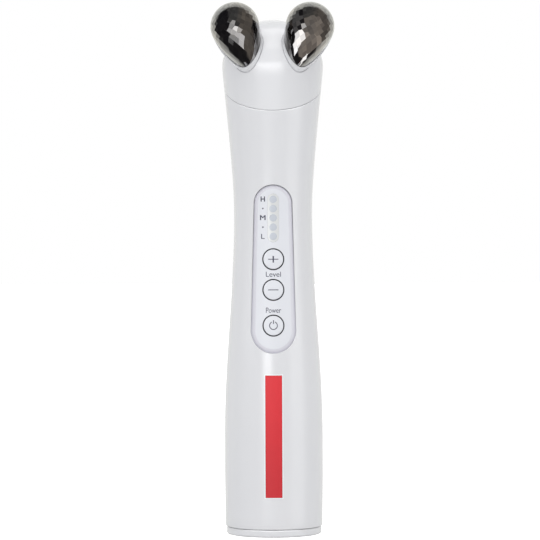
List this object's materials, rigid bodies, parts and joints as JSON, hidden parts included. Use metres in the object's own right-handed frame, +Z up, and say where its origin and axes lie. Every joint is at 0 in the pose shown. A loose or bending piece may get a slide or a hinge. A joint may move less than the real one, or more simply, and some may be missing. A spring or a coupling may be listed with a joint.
{
  "type": "ems facial device",
  "caption": "Waisted handle with a domed head that carries angled faceted rollers, a recessed control panel with press buttons and level lamps, and a flat base to stand on.",
  "frame": {"origin": "middle of the flat base the device stands on", "axes": "+Z up along the handle, -Y out of the control panel, +X to the viewer's right"},
  "size_m": [0.0448, 0.0442, 0.1942],
  "materials": {
    "battery_blue": "can in a blue wrap",
    "board_green": "glass-fibre board with green mask",
    "brass": "gold-plated brass",
    "chip_black": "black moulded plastic",
    "dark_chrome": "dark chrome plating",
    "ferrite_grey": "dark ferrite",
    "frame_grey": "grey structural moulding",
    "lamp_pale": "frosted pale grey-blue diffuser",
    "lead_black": "black insulated wire",
    "lead_red": "red insulated wire",
    "panel_white": "satin cool white moulding",
    "red_inlay": "red printed inlay",
    "rubber": "black silicone rubber",
    "steel": "plain steel",
    "white_shell": "satin white moulding",
    "window_pale": "frosted greenish white"
  },
  "bodies": {
    "handle": {"head_cover": "white_shell", "head_frame": "frame_grey", "head_screw_left": "steel", "head_screw_right": "steel", "axle_left": "steel", "axle_seal_left": "rubber", "contact_tag_left": "brass", "axle_clip_left": "steel", "electrode_lead_left": "lead_red", "charge_contact_left": "brass", "axle_right": "steel", "axle_seal_right": "rubber", "contact_tag_right": "brass", "axle_clip_right": "steel", "electrode_lead_right": "lead_red", "charge_contact_right": "brass", "control_panel": "panel_white", "level_window": "window_pale", "level_lens_1": "lamp_pale", "level_lens_2": "lamp_pale", "level_lens_3": "lamp_pale", "level_lens_4": "lamp_pale", "level_lens_5": "lamp_pale", "plus_switch": "chip_black", "minus_switch": "chip_black", "power_switch": "chip_black", "main_board": "board_green", "level_led_1": "lamp_pale", "level_led_2": "lamp_pale", "level_led_3": "lamp_pale", "level_led_4": "lamp_pale", "level_led_5": "lamp_pale", "light_shield": "chip_black", "control_chip": "chip_black", "output_transformer": "ferrite_grey", "front_shell": "white_shell", "rear_shell": "white_shell", "red_strip": "red_inlay", "inner_frame": "frame_grey", "frame_screw_top": "steel", "frame_screw_left": "steel", "frame_screw_right": "steel", "battery": "battery_blue", "battery_lead_positive": "lead_red", "battery_lead_negative": "lead_black", "charge_cable": "lead_black", "base_cap": "white_shell", "base_seal": "rubber", "charge_board": "board_green"},
    "roller_left": {"roller_left": "dark_chrome", "roller_sleeve_left": "frame_grey"},
    "roller_right": {"roller_right": "dark_chrome", "roller_sleeve_right": "frame_grey"},
    "plus_button": {"plus_button": "panel_white"},
    "minus_button": {"minus_button": "panel_white"},
    "power_button": {"power_button": "panel_white"}
  },
  "joints": [
    {"name": "roller_left_spin", "type": "hinge", "parent": "handle", "child": "roller_left", "pos_m": [-0.00818, -0.0132, 0.1709], "axis": [-0.3382, -0.2436, 0.909], "continuous": true},
    {"name": "roller_right_spin", "type": "hinge", "parent": "handle", "child": "roller_right", "pos_m": [0.00818, -0.0132, 0.1709], "axis": [0.3382, -0.2436, 0.909], "continuous": true},
    {"name": "plus_press", "type": "slide", "parent": "handle", "child": "plus_button", "axis": [0, 0.9992, -0.0409], "range_m": [0, 0.0004], "stiffness_N_per_m": 1500},
    {"name": "minus_press", "type": "slide", "parent": "handle", "child": "minus_button", "axis": [0, 0.9983, -0.0581], "range_m": [0, 0.0004], "stiffness_N_per_m": 1500},
    {"name": "power_press", "type": "slide", "parent": "handle", "child": "power_button", "axis": [0, 0.9978, -0.0665], "range_m": [0, 0.0004], "stiffness_N_per_m": 1500}
  ]
}
